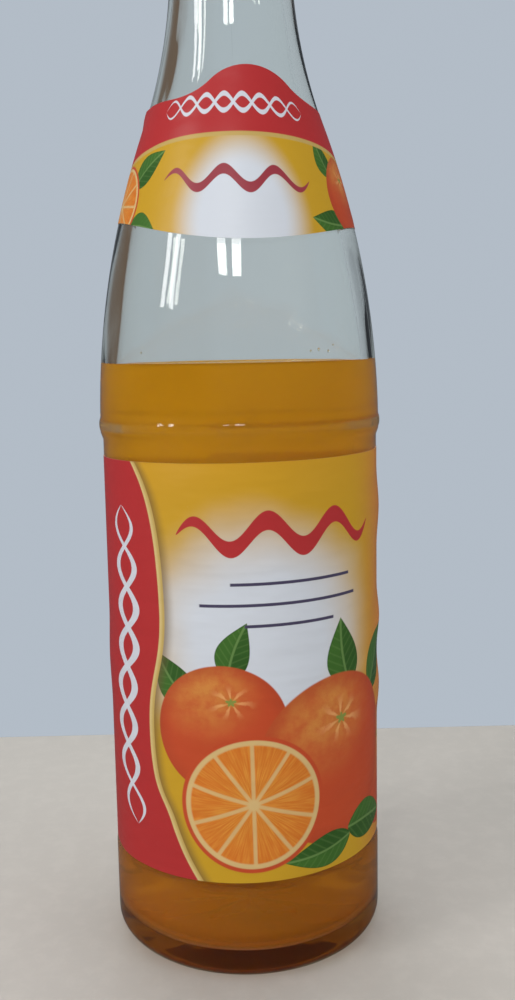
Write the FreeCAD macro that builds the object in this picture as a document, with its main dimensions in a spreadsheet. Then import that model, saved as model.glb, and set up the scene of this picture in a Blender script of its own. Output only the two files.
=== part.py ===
"""A half-litre glass bottle of orange soda, open and about four fifths full.

The clear bottle has a rounded heel, a slightly sunk label panel, a raised contact bead, a long
sloping shoulder and a plain screw finish without its thread. A paper label goes round the panel
and a paper collar, with a wave for its upper edge, lies round the front half of the shoulder.

The origin is the centre of the standing ring, +Z is up and the labels' fronts face -Y.
Every outline is a half section in the XZ plane: x is the distance from the bottle's axis.
"""
import FreeCAD
import Part

import math
import os

import Sketcher

# name, value (mm, or degrees for the tilt), what it is
SIZES = (
    ("total_height", 254.0, "standing ring to lip"),
    ("body_radius", 33.05, "glass of the label panel"),
    ("panel_height", 100.2, "label panel between its two slopes"),
    ("panel_slope", 1.5, "height of the slope at each end of the panel"),
    ("heel_lip", 0.25, "heel band outside the panel"),
    ("heel_height", 22.0, "standing ring to the top of the heel band"),
    ("heel_round", 5.0, "radius between the standing ring and the heel band"),
    ("standing_width", 2.4, "width of the standing ring"),
    ("push_up", 3.5, "rise of the hollow under the base"),
    ("shoulder_lip", 0.55, "start of the shoulder outside the panel"),
    ("shoulder_share", 0.633, "part of the shoulder and neck that curves outwards"),
    ("neck_radius", 13.9, "glass just under the finish"),
    ("contact_lip", 0.3, "contact bead outside the shoulder"),
    ("contact_height", 5.2, "contact bead where it leaves the wall's inside"),
    ("contact_root", 0.5, "depth of the contact bead in the wall"),
    ("contact_rise", 1.9, "start of the shoulder to the middle of the contact bead"),
    ("finish_height", 18.5, "foot of the carrying bead to the lip"),
    ("bead_reach", 1.0, "carrying bead outside the neck"),
    ("bead_height", 4.4, "carrying bead"),
    ("land_inset", 2.3, "screw land inside the carrying bead"),
    ("lip_round", 1.2, "radius outside the lip"),
    ("mouth_round", 0.9, "radius inside the lip"),
    ("body_wall", 2.8, "glass of the panel"),
    ("neck_wall", 3.0, "glass of the neck"),
    ("base_wall", 4.0, "glass at the middle of the base"),
    ("corner_round", 7.0, "radius round the cavity's floor"),
    ("corner_rise", 4.5, "middle of the floor to the foot of the upright wall"),
    ("bore_radius", 9.2, "mouth"),
    ("throat_height", 6.0, "cone from the neck's inside to the bore"),
    ("soda_height", 141.4, "standing ring to the soda's surface"),
    ("paper", 0.12, "thickness of both labels"),
    ("label_foot", 1.0, "panel left bare under the body label"),
    ("label_head", 3.5, "panel left bare over the body label"),
    ("collar_gap", 29.8, "crest of the collar to the foot of the finish"),
    ("collar_height", 38.1, "crest to the lowest point of the collar"),
    ("collar_sweep", 75.0, "radius of the lower edge, seen from the front"),
    ("collar_reach", 2.0, "how far behind the bottle's axis the collar's two ends lie"),
    ("collar_tilt", 2.0, "how far the collar is stuck on askew, right side down"),
    ("crest_shift", 2.3, "crest to the right of the bottle's axis"),
    ("wave_reach", 17.1, "crest to trough, across"),
    ("wave_drop", 7.1, "crest to trough, down"),
)

OVERSHOOT = 5.0  # how far a cutting outline passes the solid that it cuts


class Formula:
    """A number together with the sheet expression that gives it."""

    def __init__(self, value, text):
        self.value = value
        self.text = text

    def __add__(self, other):
        other = formula(other)
        return Formula(self.value + other.value, f"({self.text} + {other.text})")

    def __sub__(self, other):
        other = formula(other)
        return Formula(self.value - other.value, f"({self.text} - {other.text})")

    def __mul__(self, other):
        other = formula(other)
        return Formula(self.value * other.value, f"({self.text} * {other.text})")

    def __truediv__(self, other):
        other = formula(other)
        return Formula(self.value / other.value, f"({self.text} / {other.text})")

    def __neg__(self):
        return Formula(-self.value, f"(-1 * {self.text})")


def formula(number):
    """A plain number as a Formula, and a Formula as it is."""
    return number if isinstance(number, Formula) else Formula(number, str(number))


def make_sheet(document):
    """The spreadsheet of driving sizes, and the same sizes as formulas by name."""
    sheet = document.addObject("Spreadsheet::Sheet", "sizes")
    names = {}
    for row, (name, value, note) in enumerate(SIZES, start=1):
        sheet.set(f"A{row}", name)
        sheet.set(f"B{row}", str(value))
        sheet.setAlias(f"B{row}", name)
        sheet.set(f"C{row}", note)
        names[name] = Formula(value, f"sizes.{name}")
    document.recompute()
    return names


class Outline:
    """A closed outline in a sketch, drawn point by point and bound to the sheet."""

    def __init__(self, sketch, start):
        self.sketch = sketch
        self.first = None
        self.last = None
        self.here = start

    def line_to(self, point):
        """A straight edge to a point."""
        edge = Part.LineSegment(vector(self.here), vector(point))
        self.join(self.sketch.addGeometry(edge, False), 1, 2, point)

    def arc_to(self, point, upright=None, level=None):
        """An arc whose tangent is upright or level at one end, which is "start" or "end"."""
        start, end = vector(self.here), vector(point)
        near, far = (start, end) if "start" in (upright, level) else (end, start)
        chord = far - near
        along = FreeCAD.Vector(1, 0, 0) if upright else FreeCAD.Vector(0, 1, 0)
        radius = chord.Length ** 2 / (2 * chord.dot(along))
        centre = near + along * radius
        spokes = [math.atan2(spot.y - centre.y, spot.x - centre.x) for spot in (start, end)]
        forwards = math.sin(spokes[1] - spokes[0]) > 0
        if not forwards:
            spokes.reverse()
        circle = Part.Circle(centre, FreeCAD.Vector(0, 0, 1), abs(radius))
        edge = self.sketch.addGeometry(Part.ArcOfCircle(circle, *spokes), False)
        entry, leave = (1, 2) if forwards else (2, 1)
        self.join(edge, entry, leave, point)
        held = entry if "start" in (upright, level) else leave
        rule = "Horizontal" if upright else "Vertical"
        self.sketch.addConstraint(Sketcher.Constraint(rule, edge, 3, edge, held))

    def join(self, edge, entry, leave, point):
        """Tie an edge's entry to the edge before it and pin the vertex where it leaves."""
        if self.last is None:
            self.first = (edge, entry)
            pin(self.sketch, edge, entry, self.here)
        else:
            self.sketch.addConstraint(Sketcher.Constraint("Coincident", *self.last, edge, entry))
        pin(self.sketch, edge, leave, point)
        self.last = (edge, leave)
        self.here = point

    def close(self):
        """A straight edge back to the first point."""
        edge = self.sketch.addGeometry(Part.LineSegment(vector(self.here), self.start_point()), False)
        self.sketch.addConstraint(Sketcher.Constraint("Coincident", *self.last, edge, 1))
        self.sketch.addConstraint(Sketcher.Constraint("Coincident", edge, 2, *self.first))

    def start_point(self):
        """Where the outline began."""
        return self.sketch.getPoint(*self.first)


def vector(point):
    """A pair of formulas as a point of the sketch plane."""
    across, up = point
    return FreeCAD.Vector(formula(across).value, formula(up).value, 0)


def pin(sketch, edge, vertex, point):
    """Hold a vertex at a point, each of its two distances bound to the sheet."""
    for kind, axis, distance in (("DistanceX", -2, point[0]), ("DistanceY", -1, point[1])):
        distance = formula(distance)
        if distance.value == 0:
            sketch.addConstraint(Sketcher.Constraint("PointOnObject", edge, vertex, axis))
            continue
        ends = (-1, 1, edge, vertex)
        if distance.value < 0:
            ends = (edge, vertex, -1, 1)
            distance = -distance
        number = sketch.addConstraint(Sketcher.Constraint(kind, *ends, distance.value))
        sketch.setExpression(f"Constraints[{number}]", distance.text)


def make_body(document, label):
    """An empty body with its own name."""
    body = document.addObject("PartDesign::Body", label)
    body.Label = label
    body.Placement = FreeCAD.Placement()
    return body


def make_sketch(body, name, role="XZ_Plane"):
    """A sketch on one of the body's own planes. On XZ its x is along +X and its y along +Z."""
    sketch = body.newObject("Sketcher::SketchObject", name)
    plane = next(item for item in body.Origin.OriginFeatures if item.Role == role)
    sketch.AttachmentSupport = [(plane, "")]
    sketch.MapMode = "FlatFace"
    return sketch


def turn(body, sketch, kind, name):
    """Revolve an outline once round the bottle's axis: a Revolution adds, a Groove cuts."""
    feature = body.newObject(f"PartDesign::{kind}", name)
    feature.Profile = sketch
    feature.ReferenceAxis = (sketch, ["V_Axis"])
    feature.Angle = 360.0
    sketch.Visibility = False
    return feature


def cut_through(body, sketch, name):
    """Cut an outline straight through the body, in front of the sketch and behind it."""
    pocket = body.newObject("PartDesign::Pocket", name)
    pocket.Profile = sketch
    pocket.Type = "ThroughAll"
    pocket.Midplane = True
    sketch.Visibility = False
    return pocket


def shoulder_start(size):
    """Height where the shoulder begins to curve."""
    return size.heel_height + size.panel_slope * 2 + size.panel_height


def finish_foot(size):
    """Height where the neck ends and the finish begins."""
    return size.total_height - size.finish_height


def draw_shoulder(outline, size, foot_radius, head_radius):
    """The shoulder and neck: an arc out and an arc in, both upright at their outer ends."""
    foot, head = shoulder_start(size), finish_foot(size)
    share = size.shoulder_share
    turning = (foot_radius - (foot_radius - head_radius) * share, foot + (head - foot) * share)
    outline.arc_to(turning, upright="start")
    outline.arc_to((head_radius, head), upright="end")


def draw_shoulder_down(outline, size, foot_radius, head_radius):
    """The shoulder and neck drawn from the top down."""
    foot, head = shoulder_start(size), finish_foot(size)
    share = size.shoulder_share
    turning = (foot_radius - (foot_radius - head_radius) * share, foot + (head - foot) * share)
    outline.arc_to(turning, upright="start")
    outline.arc_to((foot_radius, foot), upright="end")


def draw_glass(sketch, size):
    """The outside of the bottle as a filled half section."""
    heel = size.body_radius + size.heel_lip
    bearing = heel - size.heel_round
    shoulder = size.body_radius + size.shoulder_lip
    foot = finish_foot(size)
    bead = size.neck_radius + size.bead_reach
    land = bead - size.land_inset
    outline = Outline(sketch, (0, size.push_up))
    outline.arc_to((bearing - size.standing_width, 0), level="start")
    outline.line_to((bearing, 0))
    outline.arc_to((heel, size.heel_round), upright="end")
    outline.line_to((heel, size.heel_height))
    outline.line_to((size.body_radius, size.heel_height + size.panel_slope))
    outline.line_to((size.body_radius, size.heel_height + size.panel_slope + size.panel_height))
    outline.line_to((shoulder, shoulder_start(size)))
    draw_shoulder(outline, size, shoulder, size.neck_radius)
    outline.arc_to((bead, foot + size.bead_height / 2), upright="end")
    outline.arc_to((land, foot + size.bead_height), upright="start")
    outline.line_to((land, size.total_height - size.lip_round))
    outline.arc_to((land - size.lip_round, size.total_height), upright="start")
    outline.line_to((0, size.total_height))
    outline.close()


def draw_contact_bead(sketch, size):
    """The raised bead round the start of the shoulder, where bottles touch in a crate."""
    shoulder = size.body_radius + size.shoulder_lip
    root = shoulder - size.contact_root
    middle = shoulder_start(size) + size.contact_rise
    outline = Outline(sketch, (root, middle - size.contact_height / 2))
    outline.arc_to((shoulder + size.contact_lip, middle), upright="end")
    outline.arc_to((root, middle + size.contact_height / 2), upright="start")
    outline.close()


def draw_cavity(sketch, size):
    """The inside of the bottle as a filled half section, from its floor past its mouth."""
    wall = size.body_radius - size.body_wall
    floor = size.push_up + size.base_wall
    reach = wall - size.corner_round
    rise, fillet = size.corner_rise, size.corner_round
    dome = (reach * reach + rise * rise - fillet * fillet) / ((fillet - rise) * 2)
    meet = dome / (dome + size.corner_round)
    outline = Outline(sketch, (0, floor))
    outline.arc_to((reach * meet, floor - dome + (size.corner_rise + dome) * meet), level="start")
    outline.arc_to((wall, floor + size.corner_rise), upright="end")
    outline.line_to((wall, shoulder_start(size)))
    neck = size.neck_radius - size.neck_wall
    draw_shoulder(outline, size, wall, neck)
    outline.line_to((size.bore_radius, finish_foot(size) + size.throat_height))
    outline.line_to((size.bore_radius, size.total_height - size.mouth_round))
    mouth = size.bore_radius + size.mouth_round
    outline.arc_to((mouth, size.total_height), upright="start")
    outline.line_to((mouth, size.total_height + OVERSHOOT))
    outline.line_to((0, size.total_height + OVERSHOOT))
    outline.close()


def build_bottle(document, size):
    """The glass: the outside turned solid, the contact bead added and the cavity cut out."""
    body = make_body(document, "bottle")
    outside = make_sketch(body, "glass_outside")
    draw_glass(outside, size)
    turn(body, outside, "Revolution", "glass_turned")
    bead = make_sketch(body, "contact_outline")
    draw_contact_bead(bead, size)
    turn(body, bead, "Revolution", "contact_bead")
    inside = make_sketch(body, "glass_inside")
    draw_cavity(inside, size)
    turn(body, inside, "Groove", "cavity")
    return body


def build_soda(document, size):
    """The soda: the whole cavity turned solid, then cut off flat at the soda's surface."""
    body = make_body(document, "soda")
    inside = make_sketch(body, "soda_outline")
    draw_cavity(inside, size)
    turn(body, inside, "Revolution", "soda_turned")
    air = make_sketch(body, "air_outline")
    side = size.body_radius + OVERSHOOT
    top = size.total_height + OVERSHOOT * 2
    outline = Outline(air, (-side, size.soda_height))
    outline.line_to((side, size.soda_height))
    outline.line_to((side, top))
    outline.line_to((-side, top))
    outline.close()
    cut_through(body, air, "air")
    return body


def build_body_label(document, size):
    """The label round the panel, flat against the glass."""
    body = make_body(document, "body_label")
    sketch = make_sketch(body, "label_section")
    foot = size.heel_height + size.panel_slope + size.label_foot
    head = size.heel_height + size.panel_slope + size.panel_height - size.label_head
    outline = Outline(sketch, (size.body_radius, foot))
    outline.line_to((size.body_radius + size.paper, foot))
    outline.line_to((size.body_radius + size.paper, head))
    outline.line_to((size.body_radius, head))
    outline.close()
    turn(body, sketch, "Revolution", "label_wrap")
    return body


def draw_over_wave(sketch, size):
    """All that lies over the collar's upper edge: a crest between two troughs."""
    side = size.body_radius + OVERSHOOT
    crest, shift = size.collar_height, size.crest_shift
    trough = crest - size.wave_drop
    middle = crest - size.wave_drop / 2
    top = crest + size.total_height
    outline = Outline(sketch, (-side, trough))
    outline.line_to((shift - size.wave_reach, trough))
    outline.arc_to((shift - size.wave_reach / 2, middle), level="start")
    outline.arc_to((shift, crest), level="end")
    outline.arc_to((shift + size.wave_reach / 2, middle), level="start")
    outline.arc_to((shift + size.wave_reach, trough), level="end")
    outline.line_to((side, trough))
    outline.line_to((side, top))
    outline.line_to((-side, top))
    outline.close()


def draw_under_sweep(sketch, size):
    """All that lies under the collar's lower edge, which sags in the middle."""
    side = size.body_radius + OVERSHOOT
    rise = size.collar_sweep - square_root(size.collar_sweep * size.collar_sweep - side * side)
    outline = Outline(sketch, (-side, rise))
    outline.arc_to((0, 0), level="end")
    outline.arc_to((side, rise), level="start")
    outline.line_to((side, -size.total_height))
    outline.line_to((-side, -size.total_height))
    outline.close()


def draw_behind(sketch, size):
    """All that lies behind the collar's two ends, seen from above."""
    side = size.body_radius + OVERSHOOT
    outline = Outline(sketch, (-side, size.collar_reach))
    outline.line_to((side, size.collar_reach))
    outline.line_to((side, side))
    outline.line_to((-side, side))
    outline.close()


def square_root(number):
    """The root of a formula."""
    return Formula(math.sqrt(number.value), f"sqrt({number.text})")


def tilt_sketch(sketch, size):
    """Move a sketch's origin to the collar's lowest point and turn it by the collar's tilt."""
    low = finish_foot(size) - size.collar_gap - size.collar_height
    turned = FreeCAD.Rotation(FreeCAD.Vector(0, 0, 1), -size.collar_tilt.value)
    sketch.AttachmentOffset = FreeCAD.Placement(FreeCAD.Vector(0, low.value, 0), turned)
    sketch.setExpression("AttachmentOffset.Base.y", low.text)
    sketch.setExpression("AttachmentOffset.Rotation.Angle", (-size.collar_tilt).text)


def build_neck_label(document, size):
    """The collar: a skin over the whole shoulder, cut back to its edges and its two ends."""
    body = make_body(document, "neck_label")
    sketch = make_sketch(body, "collar_section")
    shoulder = size.body_radius + size.shoulder_lip
    foot, head = shoulder_start(size), finish_foot(size)
    outline = Outline(sketch, (shoulder + size.paper, foot))
    draw_shoulder(outline, size, shoulder + size.paper, size.neck_radius + size.paper)
    outline.line_to((size.neck_radius, head))
    draw_shoulder_down(outline, size, shoulder, size.neck_radius)
    outline.close()
    turn(body, sketch, "Revolution", "collar_skin")
    for name, draw in (("over_wave", draw_over_wave), ("under_sweep", draw_under_sweep)):
        edge = make_sketch(body, f"{name}_outline")
        tilt_sketch(edge, size)
        draw(edge, size)
        cut_through(body, edge, name)
    ends = make_sketch(body, "behind_outline", "XY_Plane")
    draw_behind(ends, size)
    cut_through(body, ends, "behind")
    return body


def check(document, bodies):
    """Stop if any object failed or any body has no sound solid."""
    for item in document.Objects:
        if "Invalid" in item.State or "Error" in item.State:
            raise RuntimeError(f"{item.Label} failed: {item.State}")
    for body in bodies:
        if body.Shape.isNull() or not body.Shape.isValid() or len(body.Shape.Solids) != 1:
            raise RuntimeError(f"{body.Label} is not one sound solid")


def main():
    document = FreeCAD.newDocument("soda_bottle")
    names = make_sheet(document)
    size = type("Sizes", (), names)
    builders = (build_bottle, build_soda, build_body_label, build_neck_label)
    bodies = [build(document, size) for build in builders]
    document.recompute()
    check(document, bodies)
    os.makedirs("parts", exist_ok=True)
    for body in bodies:
        body.Shape.exportStep(f"parts/{body.Label}.step")
        print(body.Label, f"{body.Shape.Volume / 1000:.2f} ml")


main()
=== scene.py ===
"""A half-litre bottle of orange soda: clear glass, drink, body label, collar and stage."""

import math

import bpy
from mathutils import Matrix, Vector


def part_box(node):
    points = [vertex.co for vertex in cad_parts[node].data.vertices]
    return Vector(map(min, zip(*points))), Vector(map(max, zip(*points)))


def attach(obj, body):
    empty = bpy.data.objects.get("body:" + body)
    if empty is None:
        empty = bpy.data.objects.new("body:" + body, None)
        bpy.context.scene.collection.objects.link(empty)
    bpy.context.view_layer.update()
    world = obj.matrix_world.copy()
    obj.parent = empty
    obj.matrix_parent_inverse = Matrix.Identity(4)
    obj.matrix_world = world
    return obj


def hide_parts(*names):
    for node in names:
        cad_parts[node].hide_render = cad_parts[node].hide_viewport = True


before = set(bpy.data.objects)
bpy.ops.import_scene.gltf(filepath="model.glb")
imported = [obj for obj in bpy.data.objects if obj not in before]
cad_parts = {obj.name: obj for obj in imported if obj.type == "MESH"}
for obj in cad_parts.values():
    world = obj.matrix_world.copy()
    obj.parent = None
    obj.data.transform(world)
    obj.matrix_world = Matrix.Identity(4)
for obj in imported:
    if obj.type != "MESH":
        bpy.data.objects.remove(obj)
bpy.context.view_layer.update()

bl_info = {
    "name": "Orange Soda Bottle",
    "version": (1, 0, 0),
    "blender": (4, 5, 0),
    "location": "View3D > Sidebar > Bottle",
    "description": "Models a clear glass bottle of orange soda with its two paper labels",
    "category": "Object",
}

MM = 0.001
TURN_STEPS = 160  # facets round the bottle
BEAD_UP = 127.1  # millimetres up to the crest of the contact bead
DRINK_IOR = 1.34
ASKEW = 0.009  # slope at which the body label was stuck on
_, GLASS_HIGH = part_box("bottle")
LABEL_LOW, LABEL_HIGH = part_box("body_label")
COLLAR_LOW, COLLAR_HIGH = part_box("neck_label")
_, SODA_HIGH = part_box("soda")


# -------------------- sizes and colours


def length(name, value, description):
    return bpy.props.FloatProperty(
        name=name, description=description, default=value * MM, unit="LENGTH", precision=5
    )


def ink(name, colour, description):
    return bpy.props.FloatVectorProperty(
        name=name, description=description, default=colour, subtype="COLOR", size=3, min=0, max=1
    )


class BottleSizes(bpy.types.PropertyGroup):
    height: length("Height", GLASS_HIGH.z / MM, "Standing ring to lip")
    panel: length("Panel radius", 33.05, "Glass under the body label")
    heel: length("Heel height", 22.0, "Standing ring to the top of the heel band")
    shoulder: length("Shoulder height", 125.2, "Standing ring to the start of the shoulder")
    bead: length("Contact bead", GLASS_HIGH.x / MM, "Radius of the bead where bottles touch")
    neck: length("Neck radius", 13.9, "Neck just under the finish")
    finish: length("Finish", 18.5, "Foot of the finish to the lip")
    wall: length("Body wall", 2.8, "Glass of the panel")
    neck_wall: length("Neck wall", 3.0, "Glass of the neck")
    bore: length("Bore radius", 9.2, "Inside of the mouth")
    thread_reach: length("Thread reach", 1.15, "How far the screw thread stands out")
    thread_pitch: length("Thread pitch", 3.4, "Rise of the screw thread in one turn")
    drink: length("Drink level", SODA_HIGH.z / MM, "Edge of the drink's surface")
    climb: length("Climb", 0.9, "How far the drink's edge creeps up the glass")
    paper: length("Paper", 0.12, "Thickness of both labels")


class PrintColours(bpy.types.PropertyGroup):
    red: ink("Red", (0.42, 0.024, 0.026), "Side band and collar band")
    wine: ink("Wine red", (0.30, 0.035, 0.05), "Wave ornament of the collar")
    gold: ink("Gold", (0.50, 0.34, 0.10), "Thin rim along the red")
    yellow: ink("Yellow", (0.53, 0.30, 0.012), "Top and sides of the field")
    white: ink("White", (0.60, 0.63, 0.69), "Glow in the middle of the field")
    orange: ink("Orange", (0.50, 0.062, 0.016), "Peel in the shade")
    orange_light: ink("Light orange", (0.60, 0.22, 0.042), "Peel in the light")
    flesh: ink("Flesh", (0.60, 0.16, 0.012), "Inside of a cut orange")
    pith: ink("Pith", (0.63, 0.43, 0.18), "White of the peel")
    leaf: ink("Leaf", (0.025, 0.088, 0.012), "Leaf in the shade")
    leaf_light: ink("Light leaf", (0.058, 0.165, 0.022), "Leaf in the light")
    small: ink("Small print", (0.06, 0.05, 0.10), "Fine rules")
    paper: ink("Bare paper", (0.56, 0.54, 0.49), "Back of the paper and its cut edges")


class StageLook(bpy.types.PropertyGroup):
    backdrop: ink("Backdrop", (0.45, 0.505, 0.57), "Pale wall far behind the bottle")
    dark_side: ink("Dark side", (0.15, 0.105, 0.075), "What thick glass shows of the left")
    floor: ink("Floor", (0.50, 0.47, 0.43), "Pale table top")


# -------------------- modelling helpers


def deselect():
    if bpy.context.object and bpy.context.object.mode != "OBJECT":
        bpy.ops.object.mode_set(mode="OBJECT")
    bpy.ops.object.select_all(action="DESELECT")


def pick(piece):
    """Make a piece the one that is selected and active."""
    deselect()
    piece.select_set(True)
    bpy.context.view_layer.objects.active = piece


def edit():
    """Open the active piece in edit mode, with all of it selected."""
    bpy.ops.object.mode_set(mode="EDIT")
    bpy.ops.mesh.select_all(action="SELECT")


def leave_edit():
    bpy.ops.object.mode_set(mode="OBJECT")


def face_outward():
    bpy.ops.mesh.select_all(action="SELECT")
    bpy.ops.mesh.normals_make_consistent(inside=False)
    leave_edit()


def arc_centre(start, end, upright=None, level=None):
    """Centre of the arc between two points that runs straight up, or level, at one of them."""
    if "end" in (upright, level):
        start, end = end, start
    across, up = end[0] - start[0], end[1] - start[1]
    if upright:
        return start[0] + (across * across + up * up) / (2 * across), start[1]
    return start[0], start[1] + (across * across + up * up) / (2 * up)


def on_circle(centre, rim, height):
    """Distance from the bottle's axis of a circle's outer side at a height."""
    reach = math.hypot(rim[0] - centre[0], rim[1] - centre[1])
    return centre[0] + math.sqrt(reach * reach - (height - centre[1]) ** 2)


class Section:
    """A half section drawn point by point in the XZ plane and turned round the bottle's axis."""

    def __init__(self, name, across, up):
        deselect()
        bpy.ops.mesh.primitive_plane_add(size=MM)
        self.piece = bpy.context.object
        self.piece.name = self.piece.data.name = name
        edit()
        bpy.ops.mesh.select_mode(type="VERT")
        bpy.ops.mesh.select_all(action="SELECT")
        bpy.ops.mesh.merge(type="CENTER")
        bpy.ops.transform.translate(value=(across, 0, up))
        self.here = (across, up)

    def line_to(self, across, up, cuts=1):
        step = ((across - self.here[0]) / cuts, 0, (up - self.here[1]) / cuts)
        for _ in range(cuts):
            bpy.ops.mesh.extrude_region_move(TRANSFORM_OT_translate={"value": step})
        self.here = (across, up)

    def arc_to(self, across, up, upright=None, level=None, centre=None, steps=8):
        end = (across, up)
        centre = centre or arc_centre(self.here, end, upright, level)
        angles = [math.atan2(p[1] - centre[1], p[0] - centre[0]) for p in (self.here, end)]
        angle = (angles[1] - angles[0] + math.pi) % math.tau - math.pi
        bpy.ops.mesh.spin(
            steps=steps, angle=angle, center=(centre[0], 0, centre[1]), axis=(0, 1, 0)
        )
        self.here = end

    def close_face(self):
        bpy.ops.mesh.select_all(action="SELECT")
        bpy.ops.mesh.remove_doubles(threshold=0.001 * MM)
        bpy.ops.mesh.edge_face_add()

    def turn(self):
        """Spin the outline once round and close it into a sound shell."""
        bpy.ops.mesh.select_all(action="SELECT")
        bpy.ops.mesh.spin(steps=TURN_STEPS, angle=math.tau, center=(0, 0, 0), axis=(0, 0, 1))
        bpy.ops.mesh.select_all(action="SELECT")
        bpy.ops.mesh.remove_doubles(threshold=0.002 * MM)
        face_outward()
        return self.piece


def apply_modifier(piece, kind, **settings):
    pick(piece)
    modifier = piece.modifiers.new(kind.title(), kind)
    for key, value in settings.items():
        setattr(modifier, key, value)
    bpy.ops.object.modifier_apply(modifier=modifier.name)


def join_solid(piece, other, operation):
    """Unite, cut or intersect two solids, and throw the second away."""
    apply_modifier(piece, "BOOLEAN", object=other, operation=operation, solver="EXACT")
    bpy.data.objects.remove(other)
    pick(piece)
    edit()
    bpy.ops.mesh.remove_doubles(threshold=0.001 * MM)
    leave_edit()


def smooth(piece, degrees=35):
    pick(piece)
    bpy.ops.object.shade_smooth_by_angle(angle=math.radians(degrees))


def pull(piece, place, shift, reach):
    """Drag the point nearest to a place, and its surroundings with it."""
    pick(piece)
    edit()
    bpy.ops.mesh.select_mode(type="VERT")
    bpy.ops.mesh.select_all(action="DESELECT")
    leave_edit()
    nearest = min(piece.data.vertices, key=lambda v: (v.co - Vector(place)).length)
    nearest.select = True
    bpy.ops.object.mode_set(mode="EDIT")
    bpy.ops.transform.translate(
        value=shift,
        use_proportional_edit=True,
        proportional_edit_falloff="SMOOTH",
        proportional_size=reach,
    )
    leave_edit()


def lift_paper(paper, radius, places):
    """Lift a paper a little off the glass: degrees from the front, height, lift and reach."""
    for degrees, height, lift, reach in places:
        turn = math.radians(degrees)
        out = Vector((math.sin(turn), -math.cos(turn), 0))
        spot = out * radius + Vector((0, 0, height * MM))
        pull(paper, spot, tuple(out * lift * MM), reach * MM)


def finish_piece(piece, material, node):
    """Give a piece its material, attach it to the root body and hide the CAD node it stands for.
    """
    piece.data.materials.clear()
    piece.data.materials.append(material)
    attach(piece, "root")
    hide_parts(node)


# -------------------- shader helpers


class Wire:
    """A number or colour that travels through a node tree, with the usual arithmetic."""

    def __init__(self, tree, socket):
        self.tree, self.socket = tree, socket

    def math(self, operation, *others):
        node = self.tree.nodes.new("ShaderNodeMath")
        node.operation = operation
        for entry, value in zip(node.inputs, (self, *others)):
            feed(self.tree, entry, value)
        return Wire(self.tree, node.outputs[0])

    def __add__(self, other):
        return self.math("ADD", other)

    def __sub__(self, other):
        return self.math("SUBTRACT", other)

    def __mul__(self, other):
        return self.math("MULTIPLY", other)

    def __truediv__(self, other):
        return self.math("DIVIDE", other)

    def __neg__(self):
        return self.math("MULTIPLY", -1.0)

    def size(self):
        return self.math("ABSOLUTE")

    def ramp(self, low, high, kind="SMOOTHSTEP"):
        """0 at low, 1 at high, gently in between; low may be the larger one."""
        node = self.tree.nodes.new("ShaderNodeMapRange")
        node.interpolation_type = kind
        start, end = (1.0, 0.0) if low > high else (0.0, 1.0)
        low, high = min(low, high), max(low, high)
        wire_up(self.tree, node, Value=self, From_Min=low, From_Max=high, To_Min=start, To_Max=end)
        return Wire(self.tree, node.outputs[0])


def feed(tree, entry, value):
    """Link a wire to a socket, or set the socket's own value."""
    if isinstance(value, Wire):
        tree.links.new(value.socket, entry)
    elif entry.type == "RGBA" and len(value) == 3:
        entry.default_value = (*value, 1.0)
    else:
        entry.default_value = value


def wire_up(tree, node, **values):
    """Link or set a node's sockets, each named with underscores for its spaces."""
    for key, value in values.items():
        feed(tree, node.inputs[key.replace("_", " ")], value)


def add(tree, kind, **values):
    """Add a node with its values, and return its first output."""
    node = tree.nodes.new(kind)
    wire_up(tree, node, **values)
    return Wire(tree, node.outputs[0])


def across_up(around, up, third=0.0):
    """A flat point from two wires, for textures that lie in the print."""
    return add(around.tree, "ShaderNodeCombineXYZ", X=around, Y=up, Z=third)


def noise(where, **values):
    """Soft random shades over a flat point."""
    return add(where.tree, "ShaderNodeTexNoise", Vector=where, **values)


def relief(height, strength, distance=MM):
    """A normal that shows a height."""
    return add(
        height.tree, "ShaderNodeBump", Strength=strength, Distance=distance, Height=height
    )


def mix(mask, under, over):
    """Colour over colour, as far as the mask says."""
    node = mask.tree.nodes.new("ShaderNodeMix")
    node.data_type = "RGBA"
    for entry, value in ((0, mask), (6, under), (7, over)):
        feed(mask.tree, node.inputs[entry], value)
    return Wire(mask.tree, node.outputs[2])


def new_group(name, inputs, outputs):
    """A node group with named sockets. Returns its tree, its inputs as wires and its end node."""
    tree = bpy.data.node_groups.new(name, "ShaderNodeTree")
    for title, default in inputs.items():
        coloured = isinstance(default, tuple)
        kind = "NodeSocketColor" if coloured else "NodeSocketFloat"
        socket = tree.interface.new_socket(name=title, in_out="INPUT", socket_type=kind)
        socket.default_value = (*default, 1.0) if coloured else default
    for title in outputs:
        kind = "NodeSocketColor" if title == "Colour" else "NodeSocketFloat"
        tree.interface.new_socket(name=title, in_out="OUTPUT", socket_type=kind)
    start = tree.nodes.new("NodeGroupInput")
    end = tree.nodes.new("NodeGroupOutput")
    return tree, {title: Wire(tree, start.outputs[title]) for title in inputs}, end


def place(tree, group, **values):
    """Put a group into a tree with its own values, and return its outputs as wires."""
    node = tree.nodes.new("ShaderNodeGroup")
    node.node_tree = bpy.data.node_groups[group]
    wire_up(tree, node, **values)
    return {socket.name: Wire(tree, socket) for socket in node.outputs}


def new_material(name):
    material = bpy.data.materials.new(name)
    material.use_nodes = True
    tree = material.node_tree
    return material, tree, tree.nodes["Principled BSDF"], tree.nodes["Material Output"]


# -------------------- shader groups


FLAT = {"Around": 0.0, "Up": 0.0}  # inputs of a group that draws on the unrolled surface
ROUND = {"Centre Around": 0.0, "Centre Up": 0.0, "Radius": 15.0}
WEDGES = 10.0  # of flesh in a cut orange


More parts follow.
